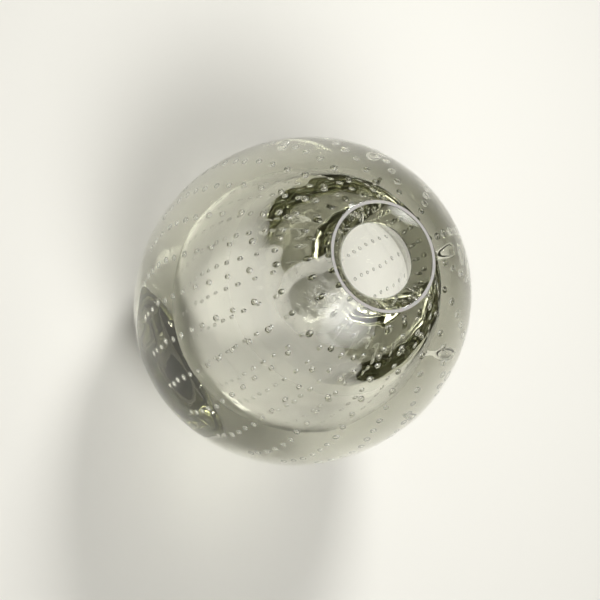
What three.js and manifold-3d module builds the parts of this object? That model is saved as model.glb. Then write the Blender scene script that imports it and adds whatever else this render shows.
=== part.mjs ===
// Glass bud vase: a heavy ball of cased glass with a lattice of trapped air bubbles.
//
// The vase is hot glass work in two gathers. The first gather is blown into a spiked mould, which
// leaves rows of pits running from the base to the neck. The second gather is laid over it, closes
// every pit into an air bubble and makes the thick outer ball. Both are then cut off together at
// the rim, the mouth is opened into a funnel, and the outer ball is ground flat to stand on.
//
// Millimetres, +Z up the axis of the vase, origin at the middle of the ground foot.

import * as THREE from 'three';
import { mergeGeometries, mergeVertices } from 'three/addons/utils/BufferGeometryUtils.js';
import Module from 'manifold-3d';

const wasm = await Module();
wasm.setup();

// ---- Driving dimensions ----------------------------------------------------------------------

// Outer ball: an upright ellipsoid, cut flat at the foot and at the rim.
const BALL_RADIUS = 50;
const BALL_HALF_HEIGHT = 61.4;
const FOOT_RADIUS = 23.5;
const RIM_RADIUS = 16.4;

// Mouth: a narrow flat land, then a slightly bulging funnel down to the throat.
const RIM_LAND = 1;
const THROAT_RADIUS = 11;
const THROAT_DEPTH = 4.6;
const FUNNEL_BULGE = 0.5;

// Cavity and first gather are round-bottomed bags. Floor and widest place are heights from the
// ball's centre; the lean and the drop place the handle that shapes the curve into the neck, and
// the barrel is how far the sides stay upright above the widest place.
const CAVITY = { floor: -27, radius: 25, widest: -1, lean: 2.7, drop: 8, barrel: 0.7 };
const GATHER = { floor: -35, radius: 31, widest: -2, lean: 2.7, drop: 11, barrel: 0.5 };
const GATHER_NECK_RADIUS = 13.8;

// Gap between the two gathers, which touch on the real vase.
const CASING_GAP = 0.3;

// Bubble lattice: upright rows round the gather. Along a row the pitch is widest at the shoulder,
// where the glass was drawn out, and shrinks from ring to ring down to the base.
const BUBBLE_ROWS = 21;
const BUBBLE_RINGS = 14;
const FIRST_ROW_AZIMUTH = -120;
const FIRST_RING_DEPTH = 3.6;
const NECK_PITCH = 8;
const SHOULDER_PITCH = 10.4;
const PITCH_SHRINK = 0.875;
const LEAST_PITCH = 4.4;

// Pits that the spikes of the mould leave, longer where the neck was drawn out. Their width shrinks
// down the gather, to BASE_PIT_SHARE of it in the lowest ring.
const PIT_RADIUS = 1.05;
const BASE_PIT_SHARE = 0.62;
const PIT_DEPTH = 1.5;
const PIT_SIDES = 6;
const NECK_PIT_STRETCH = 1.7;
const STRETCHED_RINGS = 3;

// Facets of the turned surfaces.
const GATHER_SEGMENTS = 2 * BUBBLE_ROWS;
const CASING_SEGMENTS = 3 * BUBBLE_ROWS;
const GATHER_BANDS = 30;
const CAVITY_BANDS = 24;
const BALL_BANDS = 26;
const FUNNEL_BANDS = 4;

// How far a cutting tool stands proud of the surface that it cuts.
const PROUD = 1;

// ---- Heights that follow from them -----------------------------------------------------------

const ballDrop = (radius) => BALL_HALF_HEIGHT * Math.sqrt(1 - (radius / BALL_RADIUS) ** 2);
const CENTRE_Z = ballDrop(FOOT_RADIUS);
const RIM_Z = CENTRE_Z + ballDrop(RIM_RADIUS);
const THROAT_Z = RIM_Z - THROAT_DEPTH;

// ---- Profiles: half outlines in the plane x = radius, y = height ------------------------------

// How far a curve's handle reaches towards the corner it rounds off, as on a quarter circle.
const ROUND = 0.5523;

/** A round-bottomed bag: from the axis at its floor, out to its widest place, in to its neck. */
function bagCurve(bag, neckRadius, neckZ, grow = 0) {
  const floor = CENTRE_Z + bag.floor - grow;
  const widest = CENTRE_Z + bag.widest;
  const radius = bag.radius + grow;
  const neck = neckRadius + grow;
  const curve = new THREE.CurvePath();
  curve.add(new THREE.CubicBezierCurve(
    new THREE.Vector2(0, floor),
    new THREE.Vector2(radius * ROUND, floor),
    new THREE.Vector2(radius, THREE.MathUtils.lerp(widest, floor, ROUND)),
    new THREE.Vector2(radius, widest),
  ));
  curve.add(new THREE.CubicBezierCurve(
    new THREE.Vector2(radius, widest),
    new THREE.Vector2(radius, THREE.MathUtils.lerp(widest, neckZ, bag.barrel)),
    new THREE.Vector2(neck + bag.lean, neckZ - bag.drop),
    new THREE.Vector2(neck, neckZ),
  ));
  return curve;
}

const gatherCurve = bagCurve(GATHER, GATHER_NECK_RADIUS, RIM_Z);
const pocketCurve = bagCurve(GATHER, GATHER_NECK_RADIUS, RIM_Z, CASING_GAP);
const cavityCurve = bagCurve(CAVITY, THROAT_RADIUS, THROAT_Z);

/** The funnel of the mouth, from the throat up to the inner edge of the rim's land. */
function funnelCurve() {
  const throat = new THREE.Vector2(THROAT_RADIUS, THROAT_Z);
  const land = new THREE.Vector2(RIM_RADIUS - RIM_LAND, RIM_Z);
  const slope = land.clone().sub(throat).normalize();
  const handle = throat.clone().add(land).multiplyScalar(0.5);
  handle.x -= 2 * FUNNEL_BULGE * slope.y;
  handle.y += 2 * FUNNEL_BULGE * slope.x;
  return new THREE.QuadraticBezierCurve(throat, handle, land);
}

/** The ball's outline between the ground foot and the rim. */
function ballOutline() {
  const start = Math.asin(-CENTRE_Z / BALL_HALF_HEIGHT);
  const end = Math.asin((RIM_Z - CENTRE_Z) / BALL_HALF_HEIGHT);
  const points = [];
  for (let i = 0; i <= BALL_BANDS; i += 1) {
    const angle = THREE.MathUtils.lerp(start, end, i / BALL_BANDS);
    points.push(new THREE.Vector2(
      BALL_RADIUS * Math.cos(angle),
      CENTRE_Z + BALL_HALF_HEIGHT * Math.sin(angle),
    ));
  }
  return points;
}

// ---- Solids -----------------------------------------------------------------------------------

/** A closed geometry as a manifold solid, welded on position alone. */
function toSolid(geometry) {
  const bare = geometry.clone();
  bare.deleteAttribute('normal');
  bare.deleteAttribute('uv');
  const welded = mergeVertices(bare, 1e-4);
  const index = welded.index.array;
  const triVerts = [];
  for (let i = 0; i < index.length; i += 3) {
    const [a, b, c] = index.slice(i, i + 3);
    if (a !== b && b !== c && c !== a) triVerts.push(a, b, c);
  }
  return new wasm.Manifold(new wasm.Mesh({
    numProp: 3,
    vertProperties: new Float32Array(welded.attributes.position.array),
    triVerts: new Uint32Array(triVerts),
  }));
}

/** A manifold solid back as a geometry. */
function toGeometry(solid) {
  const mesh = solid.getMesh();
  const geometry = new THREE.BufferGeometry();
  geometry.setAttribute('position', new THREE.BufferAttribute(mesh.vertProperties, 3));
  geometry.setIndex(new THREE.BufferAttribute(mesh.triVerts, 1));
  geometry.computeVertexNormals();
  return geometry;
}

/** A half outline that starts on the axis, closed level across its top and turned about Z. */
function turned(points, segments) {
  const top = new THREE.Vector2(0, points[points.length - 1].y);
  return toSolid(new THREE.LatheGeometry([...points, top], segments).rotateX(Math.PI / 2));
}

/** The same outline carried straight up past the rim, for a tool that cuts through it. */
function throughRim(points) {
  const last = points[points.length - 1];
  return [...points, new THREE.Vector2(last.x, RIM_Z + PROUD)];
}

/** The air inside the vase, from the cavity's floor out through the mouth. */
function hollow() {
  const cavity = cavityCurve.getSpacedPoints(CAVITY_BANDS);
  const funnel = funnelCurve().getPoints(FUNNEL_BANDS).slice(1);
  return turned(throughRim([...cavity, ...funnel]), GATHER_SEGMENTS);
}

/** One spike of the mould, its axis along +Y, its tip PIT_DEPTH below the origin. */
function spike(share, stretch) {
  const height = PIT_DEPTH + PROUD;
  const radius = PIT_RADIUS * share * height / PIT_DEPTH;
  return new THREE.ConeGeometry(radius, height, PIT_SIDES)
    .rotateX(Math.PI)
    .translate(0, PROUD - height / 2, 0)
    .scale(1, 1, stretch);
}

/** How far down the gather's skin from the rim each ring of bubbles lies. */
function ringDepths() {
  const depths = [FIRST_RING_DEPTH, FIRST_RING_DEPTH + NECK_PITCH];
  let pitch = SHOULDER_PITCH;
  while (depths.length < BUBBLE_RINGS) {
    depths.push(depths[depths.length - 1] + pitch);
    pitch = Math.max(LEAST_PITCH, pitch * PITCH_SHRINK);
  }
  return depths;
}

/** All the spikes of the mould, each square to the gather's skin, in rows from base to neck. */
function spikes() {
  const tools = [];
  const length = gatherCurve.getLength();
  const depths = ringDepths();
  depths.forEach((depth, ring) => {
    const along = 1 - depth / length;
    const skin = gatherCurve.getPointAt(along);
    const slope = gatherCurve.getTangentAt(along).angle();
    const nearNeck = Math.max(0, 1 - ring / STRETCHED_RINGS);
    const share = THREE.MathUtils.lerp(1, BASE_PIT_SHARE, depth / depths[depths.length - 1]);
    const tool = spike(share, 1 + (NECK_PIT_STRETCH - 1) * nearNeck);
    for (let row = 0; row < BUBBLE_ROWS; row += 1) {
      const azimuth = THREE.MathUtils.degToRad(FIRST_ROW_AZIMUTH) + row * 2 * Math.PI / BUBBLE_ROWS;
      const place = new THREE.Matrix4()
        .makeRotationZ(azimuth)
        .multiply(new THREE.Matrix4().makeTranslation(skin.x, 0, skin.y))
        .multiply(new THREE.Matrix4().makeRotationY(Math.PI / 2 - slope))
        .multiply(new THREE.Matrix4().makeRotationZ(-Math.PI / 2));
      tools.push(tool.clone().applyMatrix4(place));
    }
  });
  return toSolid(mergeGeometries(tools));
}

/** First gather: a thick bag round the cavity, pitted outside, open at the mouth. */
function innerGather() {
  const bag = turned(gatherCurve.getSpacedPoints(GATHER_BANDS), GATHER_SEGMENTS);
  return toGeometry(bag.subtract(hollow()).subtract(spikes()));
}

/** Second gather: the outer ball, ground flat below, with the pocket that the first one fills. */
function outerCasing() {
  const ball = turned([new THREE.Vector2(0, 0), ...ballOutline()], CASING_SEGMENTS);
  const pocket = turned(throughRim(pocketCurve.getSpacedPoints(GATHER_BANDS)), CASING_SEGMENTS);
  return toGeometry(ball.subtract(pocket).subtract(hollow()));
}

// ---- Assembly ---------------------------------------------------------------------------------

/** Smoky olive glass. */
function glass() {
  return new THREE.MeshStandardMaterial({
    color: new THREE.Color(0.62, 0.63, 0.52),
    roughness: 0.02,
    metalness: 0,
    transparent: true,
    opacity: 0.35,
  });
}

function part(name, geometry) {
  const mesh = new THREE.Mesh(geometry, glass());
  mesh.name = name;
  return mesh;
}

const vase = new THREE.Group();
vase.add(part('outer_casing', outerCasing()));
vase.add(part('inner_gather', innerGather()));

export default vase;
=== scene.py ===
"""Glass bud vase: a heavy ball of cased smoky glass with rows of trapped air bubbles.

Lengths are in metres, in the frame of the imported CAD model: +Z up the vase's axis, origin in the
middle of its ground foot. The two gathers are melted together, so one closed piece of glass stands
for both, and the bubbles are closed voids inside it.
"""

import math
import random

import bpy
from mathutils import Matrix, Vector, noise


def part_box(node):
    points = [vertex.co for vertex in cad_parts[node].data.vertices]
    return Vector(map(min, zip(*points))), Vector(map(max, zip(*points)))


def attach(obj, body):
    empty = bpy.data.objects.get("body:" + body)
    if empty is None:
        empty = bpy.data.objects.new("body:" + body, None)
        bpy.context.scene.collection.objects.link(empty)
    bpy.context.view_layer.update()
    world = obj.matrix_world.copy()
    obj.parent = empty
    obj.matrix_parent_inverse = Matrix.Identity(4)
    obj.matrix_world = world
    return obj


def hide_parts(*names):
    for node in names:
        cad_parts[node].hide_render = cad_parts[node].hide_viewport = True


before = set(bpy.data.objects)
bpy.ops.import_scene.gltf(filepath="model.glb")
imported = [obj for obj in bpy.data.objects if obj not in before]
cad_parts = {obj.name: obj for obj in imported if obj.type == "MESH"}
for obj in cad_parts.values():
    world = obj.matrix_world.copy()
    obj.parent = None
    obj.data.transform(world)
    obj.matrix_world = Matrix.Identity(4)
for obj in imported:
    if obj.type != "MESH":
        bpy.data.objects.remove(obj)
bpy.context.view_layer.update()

MM = 0.001

# ---- Sizes read from the CAD model ---------------------------------------------------------------

casing_low, casing_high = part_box("outer_casing")
gather_low, gather_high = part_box("inner_gather")
BALL_RADIUS = max(casing_high[0], casing_high[1], -casing_low[0], -casing_low[1])
GATHER_RADIUS = max(gather_high[0], gather_high[1], -gather_low[0], -gather_low[1])
RIM_Z = casing_high[2]
GATHER_FLOOR = gather_low[2]

# ---- Sizes of the design ---------------------------------------------------------------------------

BALL_HALF_HEIGHT = 61.4 * MM
RIM_RADIUS = 16.4 * MM
RIM_LAND = 1.0 * MM
FOOT_ROUND = 2.5 * MM
THROAT_RADIUS = 11.0 * MM
THROAT_DEPTH = 4.6 * MM
FUNNEL_BULGE = 0.5 * MM
GATHER_NECK_RADIUS = 13.8 * MM

BALL_CENTRE = RIM_Z - BALL_HALF_HEIGHT * math.sqrt(1 - (RIM_RADIUS / BALL_RADIUS) ** 2)
FOOT_RADIUS = BALL_RADIUS * math.sqrt(1 - (BALL_CENTRE / BALL_HALF_HEIGHT) ** 2)
THROAT_Z = RIM_Z - THROAT_DEPTH

# Round-bottomed bags: the cavity, and the skin of the first gather, which holds the bubbles.
CAVITY = dict(floor=BALL_CENTRE - 27 * MM, radius=25 * MM, widest=BALL_CENTRE - 1 * MM, barrel=0.7,
              neck_radius=THROAT_RADIUS, neck_z=THROAT_Z, lean=2.7 * MM, drop=8 * MM)
GATHER = dict(floor=GATHER_FLOOR, radius=GATHER_RADIUS, widest=BALL_CENTRE - 2 * MM, barrel=0.5,
              neck_radius=GATHER_NECK_RADIUS, neck_z=RIM_Z, lean=2.7 * MM, drop=11 * MM)

# Bubble lattice, with ring depths measured down the gather's skin from the rim. The bubbles shrink
# down the gather, to BASE_BUBBLE_SHARE of their size in the lowest ring.
BUBBLE_ROWS = 21
BUBBLE_RINGS = 14
FIRST_ROW_AZIMUTH = math.radians(-120)
FIRST_RING_DEPTH = 3.6 * MM
NECK_PITCH = 8 * MM
SHOULDER_PITCH = 10.4 * MM
PITCH_SHRINK = 0.875
LEAST_PITCH = 4.4 * MM
BUBBLE_RADIUS = 1.05 * MM
BASE_BUBBLE_SHARE = 0.62

# How far the bubbles are drawn out at the rim, and how far down the gather's skin that fades out.
NECK_STRETCH = 1.5
STRETCH_FADE = 26 * MM

# How unevenly the bubbles came out: their usual stray along a row and across it, and their sizes.
STRAY_ALONG = 0.18 * MM
STRAY_ACROSS = 0.16 * MM
LEAST_SIZE = 0.88
MOST_SIZE = 1.1

# The ground skin of the rim: half its thickness, then half its width and how much that varies, both
# as shares of the land.
RIM_SKIN = 0.06 * MM
RIM_HALF_WIDTH = 0.46
RIM_WIDTH_CHANGE = 0.10

# Unevenness that hot work leaves: soft waves in the cavity, less of them on the ball, and ribs in the
# cavity in front of the rows. The waves fade out towards the foot, the rim and the throat.
WAVE_HEIGHT = 0.26 * MM
WAVE_LENGTH = 17 * MM
BALL_WAVE_SHARE = 0.6
BALL_WAVE_FADE = 8 * MM
CAVITY_WAVE_FADE = 6 * MM
RIB_HEIGHT = 0.03 * MM

# Fineness of the mesh. Extra rings stand EDGE_RING from each edge of the rim, to keep it crisp.
BODY_SEGMENTS = 168
BALL_STEPS = 110
CAVITY_STEPS = 90
CAVITY_EASING = 200
FUNNEL_STEPS = 14
FOOT_ROUND_STEPS = 8
EDGE_RING = 0.15 * MM
SKIN_STEPS = 400
BUBBLE_SIDES = 14
BUBBLE_BANDS = 9
RIM_SIDES = 10
RIM_SEGMENTS = 240

# How far a curve's handle reaches towards the corner it rounds off, as on a quarter circle.
ROUND = 0.5523


# ---- Profiles: (radius, height) along half outlines ------------------------------------------------

def bezier(p0, p1, p2, p3, t):
    s = 1 - t
    return tuple(
        s ** 3 * a + 3 * s * s * t * b + 3 * s * t * t * c + t ** 3 * d
        for a, b, c, d in zip(p0, p1, p2, p3)
    )


def respace(points, steps):
    """The same polyline as steps + 1 points at equal distances along it."""
    lengths = [0.0]
    for a, b in zip(points, points[1:]):
        lengths.append(lengths[-1] + math.dist(a, b))
    result = []
    k = 0
    for i in range(steps + 1):
        goal = lengths[-1] * i / steps
        while k < len(points) - 2 and lengths[k + 1] < goal:
            k += 1
        share = min((goal - lengths[k]) / (lengths[k + 1] - lengths[k]), 1.0)
        result.append(tuple(a + (b - a) * share for a, b in zip(points[k], points[k + 1])))
    return result


def eased(half, passes):
    """A half outline that starts on the axis, its points moved to the middle of their neighbours."""
    points = [(-r, z) for r, z in half[:0:-1]] + half
    for _ in range(passes):
        middle = [
            tuple((a + 2 * b + c) / 4 for a, b, c in zip(*three))
            for three in zip(points, points[1:], points[2:])
        ]
        points = [points[0]] + middle + [points[-1]]
    return points[len(half) - 1:]


def between(start, end, distance):
    """The point at a distance from the start of a straight line."""
    share = distance / math.dist(start, end)
    return tuple(a + (b - a) * share for a, b in zip(start, end))


def bag_outline(steps, floor, radius, widest, barrel, neck_radius, neck_z, lean, drop):
    """A round-bottomed bag from the axis at its floor to its neck, as evenly spaced points."""
    rise = widest - floor
    reach = neck_z - widest
    lower = ((0, floor), (radius * ROUND, floor), (radius, widest - rise * ROUND), (radius, widest))
    upper = ((radius, widest), (radius, widest + reach * barrel),
             (neck_radius + lean, neck_z - drop), (neck_radius, neck_z))
    fine = [bezier(*lower, i / 200) for i in range(200)]
    fine += [bezier(*upper, i / 200) for i in range(201)]
    return respace(fine, steps)


def ball_outline(steps):
    start = math.asin(-BALL_CENTRE / BALL_HALF_HEIGHT)
    end = math.asin((RIM_Z - BALL_CENTRE) / BALL_HALF_HEIGHT)
    angles = [start + (end - start) * i / steps for i in range(steps + 1)]
    return [
        (BALL_RADIUS * math.cos(a), BALL_CENTRE + BALL_HALF_HEIGHT * math.sin(a)) for a in angles
    ]


def funnel_outline(steps):
    """From the inner edge of the rim's flat land down to the throat, bulging a little."""
    top = (RIM_RADIUS - RIM_LAND, RIM_Z)
    bottom = (THROAT_RADIUS, THROAT_Z)
    length = math.dist(top, bottom)
    normal = ((top[1] - bottom[1]) / length, (top[0] - bottom[0]) / length)
    points = []
    for i in range(steps):
        t = i / steps
        swell = FUNNEL_BULGE * 4 * t * (1 - t)
        points.append((
            top[0] + (bottom[0] - top[0]) * t - normal[0] * swell,
            top[1] + (bottom[1] - top[1]) * t + normal[1] * swell,
        ))
    return points


def glass_outline():
    """The whole half outline of the glass: (radius, height, unevenness) from foot to cavity floor."""
    corner = (FOOT_RADIUS, 0)
    ball = [point for point in ball_outline(BALL_STEPS) if math.dist(point, corner) > FOOT_ROUND]
    flat = FOOT_RADIUS - FOOT_ROUND
    foot = [(flat * share, 0) for share in (0, 0.35, 0.7, 0.9)]
    foot += [
        bezier((flat, 0), corner, corner, ball[0], i / FOOT_ROUND_STEPS)
        for i in range(FOOT_ROUND_STEPS)
    ]
    ball.insert(-1, between(ball[-1], ball[-2], EDGE_RING))
    land = [(RIM_RADIUS - RIM_LAND * share, RIM_Z) for share in (0.15, 0.5, 0.85)]
    funnel = funnel_outline(FUNNEL_STEPS)
    funnel.insert(1, between(funnel[0], funnel[1], EDGE_RING))
    cavity = eased(bag_outline(CAVITY_STEPS, **CAVITY), CAVITY_EASING)[::-1]
    outline = [(r, z, 0) for r, z in foot]
    for r, z in ball:
        edge = min(z, RIM_Z - z) / BALL_WAVE_FADE
        outline.append((r, z, BALL_WAVE_SHARE * min(1, max(0, edge))))
    outline += [(r, z, 0) for r, z in land]
    outline += [(r, z, 0) for r, z in funnel]
    for r, z in cavity:
        outline.append((r, z, min(1, max(0, (THROAT_Z - z) / CAVITY_WAVE_FADE))))
    return outline


# ---- Meshes -------------------------------------------------------------------------------------

def uneven(radius, z, azimuth, amount):
    """A point of the turned glass, moved as hot work leaves it: soft waves, and ribs in the cavity."""
    if amount:
        place = Vector((radius * math.cos(azimuth), radius * math.sin(azimuth), z)) / WAVE_LENGTH
        wave = noise.noise(place) * WAVE_HEIGHT * amount
        if amount > BALL_WAVE_SHARE or z > THROAT_Z - CAVITY_WAVE_FADE and radius < RIM_RADIUS:
            rib = math.cos(BUBBLE_ROWS * (azimuth - FIRST_ROW_AZIMUTH))
            wave += rib * RIB_HEIGHT * amount * min(1, radius / GATHER_NECK_RADIUS)
        radius += wave
    return Vector((radius * math.cos(azimuth), radius * math.sin(azimuth), z))


def revolve(outline, segments):
    """Vertices and faces of an outline that starts and ends on the axis, turned about it."""
    verts = [Vector((0, 0, outline[0][1]))]
    for radius, z, amount in outline[1:-1]:
        for s in range(segments):
            verts.append(uneven(radius, z, 2 * math.pi * s / segments, amount))
    verts.append(Vector((0, 0, outline[-1][1])))
    faces = []
    rings = len(outline) - 2
    for s in range(segments):
        n = (s + 1) % segments
        faces.append((0, 1 + n, 1 + s))
        for r in range(rings - 1):
            low, high = 1 + r * segments, 1 + (r + 1) * segments
            faces.append((low + s, low + n, high + n, high + s))
        last = 1 + (rings - 1) * segments
        faces.append((last + s, last + n, len(verts) - 1))
    return verts, faces


def add_bubble(verts, faces, centre, across, along, around):
    """Adds one closed ellipsoid whose faces look inwards, into the air. The axes carry its radii."""
    base = len(verts)
    verts.append(centre + along)
    for b in range(1, BUBBLE_BANDS):
        t = math.pi * b / BUBBLE_BANDS
        for s in range(BUBBLE_SIDES):
            a = 2 * math.pi * s / BUBBLE_SIDES
            side = across * math.cos(a) + around * math.sin(a)
            verts.append(centre + along * math.cos(t) + side * math.sin(t))
    verts.append(centre - along)
    for s in range(BUBBLE_SIDES):
        n = (s + 1) % BUBBLE_SIDES
        faces.append((base, base + 1 + n, base + 1 + s))
        for b in range(BUBBLE_BANDS - 2):
            low = base + 1 + b * BUBBLE_SIDES
            high = low + BUBBLE_SIDES
            faces.append((low + s, low + n, high + n, high + s))
        last = base + 1 + (BUBBLE_BANDS - 2) * BUBBLE_SIDES
        faces.append((last + s, last + n, len(verts) - 1))


def ring_depths():
    """How far down the gather's skin from the rim each ring of bubbles lies."""
    depths = [FIRST_RING_DEPTH, FIRST_RING_DEPTH + NECK_PITCH]
    pitch = SHOULDER_PITCH
    while len(depths) < BUBBLE_RINGS:
        depths.append(depths[-1] + pitch)
        pitch = max(LEAST_PITCH, pitch * PITCH_SHRINK)
    return depths


def add_bubble_rows(verts, faces):
    """The mould's lattice: bubbles of slightly uneven size and place, drawn out at the neck."""
    chance = random.Random(21)
    skin = bag_outline(SKIN_STEPS, **GATHER)[::-1]
    step_length = math.dist(skin[0], skin[1])
    depths = ring_depths()
    for depth in depths:
        drawn = 1 + NECK_STRETCH * max(0, 1 - (depth / STRETCH_FADE) ** 2)
        share = 1 + (BASE_BUBBLE_SHARE - 1) * depth / depths[-1]
        for row in range(BUBBLE_ROWS):
            k = round((depth + chance.gauss(0, STRAY_ALONG)) / step_length)
            radius, z = skin[k]
            slope = Vector((skin[k - 1][0] - skin[k + 1][0], skin[k - 1][1] - skin[k + 1][1]))
            slope.normalize()
            a = FIRST_ROW_AZIMUTH + 2 * math.pi * row / BUBBLE_ROWS
            a += chance.gauss(0, STRAY_ACROSS) / radius
            out = Vector((math.cos(a), math.sin(a), 0))
            along = out * slope.x + Vector((0, 0, slope.y))
            around = Vector((-math.sin(a), math.cos(a), 0))
            size = BUBBLE_RADIUS * share * chance.uniform(LEAST_SIZE, MOST_SIZE)
            width = size * drawn ** (-1 / 3)
            length = size * drawn ** (2 / 3)
            add_bubble(verts, faces, out * radius + Vector((0, 0, z)),
                       around.cross(along) * width, along * length, around * width)


def mesh_object(name, verts, faces, material):
    mesh = bpy.data.meshes.new(name)
    mesh.from_pydata([tuple(v) for v in verts], [], faces)
    mesh.validate()
    for polygon in mesh.polygons:
        polygon.use_smooth = True
    mesh.materials.append(material)
    obj = bpy.data.objects.new(name, mesh)
    bpy.context.scene.collection.objects.link(obj)
    return obj


# ---- Materials ----------------------------------------------------------------------------------

GLASS_IOR = 1.5
GLASS_TINT = (0.62, 0.62, 0.44, 1)
GLASS_TINT_DENSITY = 8.0
BOARD_COLOUR = (0.863, 0.847, 0.784, 1)

# A tool mark on the shoulder, just below the rim.
SCAR_PLACE = (1 * MM, -23 * MM, 108.5 * MM)
SCAR_CORE = 2 * MM
SCAR_REACH = 8 * MM


class Surface:
    """A new material with a Principled shader, and the few nodes that the materials here share."""

    def __init__(self, name):
        self.material = bpy.data.materials.new(name)
        self.material.use_nodes = True
        self.nodes = self.material.node_tree.nodes
        self.link = self.material.node_tree.links.new
        self.shader = self.nodes["Principled BSDF"]
        self.place = self.nodes.new("ShaderNodeTexCoord").outputs["Object"]

    def set(self, **values):
        """Sets plain values on the shader's sockets: Base_Color stands for Base Color."""
        for name, value in values.items():
            self.shader.inputs[name.replace("_", " ")].default_value = value

    def noise(self, scale, detail=2, distortion=0):
        texture = self.nodes.new("ShaderNodeTexNoise")
        texture.inputs["Scale"].default_value = scale
        texture.inputs["Detail"].default_value = detail
        texture.inputs["Distortion"].default_value = distortion
        self.link(self.place, texture.inputs["Vector"])
        return texture.outputs["Fac"]

    def spread(self, value, low, high, at_low, at_high, smooth=False):
        """Maps a value from the range low to high onto the range at_low to at_high."""
        ramp = self.nodes.new("ShaderNodeMapRange")
        if smooth:
            ramp.interpolation_type = "SMOOTHSTEP"
        ramp.inputs["From Min"].default_value = low
        ramp.inputs["From Max"].default_value = high
        ramp.inputs["To Min"].default_value = at_low
        ramp.inputs["To Max"].default_value = at_high
        self.link(value, ramp.inputs["Value"])
        return ramp.outputs["Result"]

    def distance(self, point):
        away = self.nodes.new("ShaderNodeVectorMath")
        away.operation = "DISTANCE"
        away.inputs[1].default_value = point
        self.link(self.place, away.inputs[0])
        return away.outputs["Value"]

    def product(self, a, b):
        times = self.nodes.new("ShaderNodeMath")
        times.operation = "MULTIPLY"
        self.link(a, times.inputs[0])
        self.link(b, times.inputs[1])
        return times.outputs["Value"]

    def bump(self, height, strength, distance, below=None):
        """A bump of a height map, over the normal of another bump if one is given."""
        relief = self.nodes.new("ShaderNodeBump")
        relief.inputs["Strength"].default_value = strength
        relief.inputs["Distance"].default_value = distance
        self.link(height, relief.inputs["Height"])
        if below:
            self.link(below, relief.inputs["Normal"])
        return relief.outputs["Normal"]


def glass_material():
    """Clear smoky glass with faint cords in it, and a tool mark on its shoulder."""
    glass = Surface("smoky_glass")
    glass.set(Base_Color=(1, 1, 1, 1), Roughness=0.0, IOR=GLASS_IOR, Transmission_Weight=1.0)
    cords = glass.bump(glass.noise(45, detail=3), 0.25, 0.09 * MM)
    near_scar = glass.spread(glass.distance(SCAR_PLACE), SCAR_CORE, SCAR_REACH, 1.0, 0.0, smooth=True)
    streaks = glass.noise(260, detail=4, distortion=1.5)
    scar = glass.bump(glass.product(near_scar, streaks), 1.0, 0.5 * MM, below=cords)
    glass.link(scar, glass.shader.inputs["Normal"])

    absorption = glass.nodes.new("ShaderNodeVolumeAbsorption")
    absorption.inputs["Color"].default_value = GLASS_TINT
    absorption.inputs["Density"].default_value = GLASS_TINT_DENSITY
    glass.link(absorption.outputs["Volume"], glass.nodes["Material Output"].inputs["Volume"])
    return glass.material


def ground_glass_material():
    """The matt, whitish skin that grinding leaves on the rim."""
    ground = Surface("ground_glass")
    ground.set(Base_Color=(0.57, 0.55, 0.53, 1), IOR=GLASS_IOR, Transmission_Weight=0.15)
    grain = ground.noise(900, detail=4)
    ground.link(ground.spread(grain, 0.0, 1.0, 0.35, 0.75), ground.shader.inputs["Roughness"])
    ground.link(ground.bump(grain, 0.5, 0.05 * MM), ground.shader.inputs["Normal"])
    return ground.material


def floor_material():
    """Plain matt board, with a paper grain too fine to show from a distance."""
    board = Surface("pale_floor")
    board.set(Base_Color=BOARD_COLOUR, Roughness=0.9, Specular_IOR_Level=0.0)
    board.link(board.bump(board.noise(600), 0.05, 0.02 * MM), board.shader.inputs["Normal"])
    return board.material


# ---- The vase -----------------------------------------------------------------------------------

glass = glass_material()
verts, faces = revolve(glass_outline(), BODY_SEGMENTS)
add_bubble_rows(verts, faces)
body = mesh_object("glass_body", verts, faces, glass)
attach(body, "root")
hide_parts("outer_casing", "inner_gather")


def ground_rim():
    """A band as thin as the ground skin of the rim, its edges rounded and its width a little uneven."""
    verts, faces = [], []
    for s in range(RIM_SEGMENTS):
        a = 2 * math.pi * s / RIM_SEGMENTS
        spot = Vector((math.cos(a), math.sin(a), 0))
        half = RIM_LAND * (RIM_HALF_WIDTH + RIM_WIDTH_CHANGE * noise.noise(spot * 3))
        for k in range(RIM_SIDES):
            t = 2 * math.pi * k / RIM_SIDES
            radius = RIM_RADIUS - RIM_LAND / 2 + half * math.cos(t)
            verts.append(spot * radius + Vector((0, 0, RIM_Z + RIM_SKIN * math.sin(t))))
    for s in range(RIM_SEGMENTS):
        here, there = s * RIM_SIDES, (s + 1) % RIM_SEGMENTS * RIM_SIDES
        for k in range(RIM_SIDES):
            m = (k + 1) % RIM_SIDES
            faces.append((here + k, there + k, there + m, here + m))
    return verts, faces


rim = mesh_object("ground_rim", *ground_rim(), ground_glass_material())
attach(rim, "root")

# ---- Floor, light and camera ----------------------------------------------------------------------

FLOOR_HALF = 3.0

# The floor lies a hair under the foot, so that their faces never coincide.
FLOOR_Z = -0.2 * MM


def pale_floor():
    corners = [Vector((x, y, FLOOR_Z)) for x, y in (
        (-FLOOR_HALF, -FLOOR_HALF), (FLOOR_HALF, -FLOOR_HALF),
        (FLOOR_HALF, FLOOR_HALF), (-FLOOR_HALF, FLOOR_HALF),
    )]
    floor = mesh_object("floor", corners, [(0, 1, 2, 3)], floor_material())


# Where the lights aim: at the floor behind the vase, on the side away from the camera.
LIT_CENTRE = Vector((-0.02, 0.07, 0))


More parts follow.
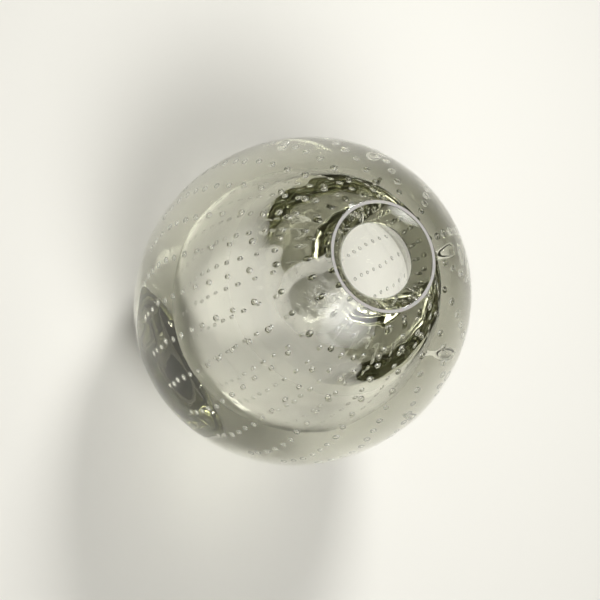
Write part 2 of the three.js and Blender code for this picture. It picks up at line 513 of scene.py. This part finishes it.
def softbox(name, azimuth, elevation, distance, size, spread, watts):
    """A square gridded soft light that looks at the floor behind the vase. Angles are in degrees."""
    light = bpy.data.lights.new(name, "AREA")
    light.size = size
    light.spread = math.radians(spread)
    light.energy = watts
    obj = bpy.data.objects.new(name, light)
    bpy.context.scene.collection.objects.link(obj)
    a, e = math.radians(azimuth), math.radians(elevation)
    away = Vector((math.cos(a) * math.cos(e), math.sin(a) * math.cos(e), math.sin(e)))
    obj.location = LIT_CENTRE + away * distance
    obj.rotation_euler = (-away).to_track_quat("-Z", "Y").to_euler()


pale_floor()
softbox("key", azimuth=140, elevation=48, distance=1.2, size=0.35, spread=38, watts=0.55)
softbox("fill", azimuth=-35, elevation=52, distance=1.2, size=0.8, spread=50, watts=1.65)

# The room is dark, as the dark shapes in the glass are reflections of it.
ROOM_COLOUR = (0.035, 0.034, 0.024, 1)

world = bpy.data.worlds.new("studio")
world.use_nodes = True
world.node_tree.nodes["Background"].inputs["Color"].default_value = ROOM_COLOUR
bpy.context.scene.world = world

CAMERA_DISTANCE = 0.550
CAMERA_ELEVATION = math.radians(62.4)
AXIS_LEAN = math.radians(29)
AIM_SHIFT = 0.75 * MM

# In millimetres, as lenses are.
FOCAL_LENGTH = 106.7


def photo_camera():
    """Looks down on the mouth, turned so that the vase's axis points to the right and a little up."""
    data = bpy.data.cameras.new("camera")
    data.lens = FOCAL_LENGTH
    camera = bpy.data.objects.new("camera", data)
    bpy.context.scene.collection.objects.link(camera)
    back = Vector((0, -math.cos(CAMERA_ELEVATION), math.sin(CAMERA_ELEVATION)))
    right = Vector((1, 0, 0))
    up = back.cross(right)
    x_axis = math.cos(AXIS_LEAN) * up + math.sin(AXIS_LEAN) * right
    y_axis = math.sin(AXIS_LEAN) * up - math.cos(AXIS_LEAN) * right
    place = Vector((0, 0, BALL_CENTRE)) + back * CAMERA_DISTANCE + y_axis * AIM_SHIFT
    camera.matrix_world = Matrix((
        (x_axis.x, y_axis.x, back.x, place.x),
        (x_axis.y, y_axis.y, back.y, place.y),
        (x_axis.z, y_axis.z, back.z, place.z),
        (0, 0, 0, 1),
    ))
    bpy.context.scene.camera = camera


photo_camera()

scene = bpy.context.scene
scene.view_settings.view_transform = "Standard"
scene.cycles.max_bounces = 32
scene.cycles.transmission_bounces = 32
scene.cycles.glossy_bounces = 16
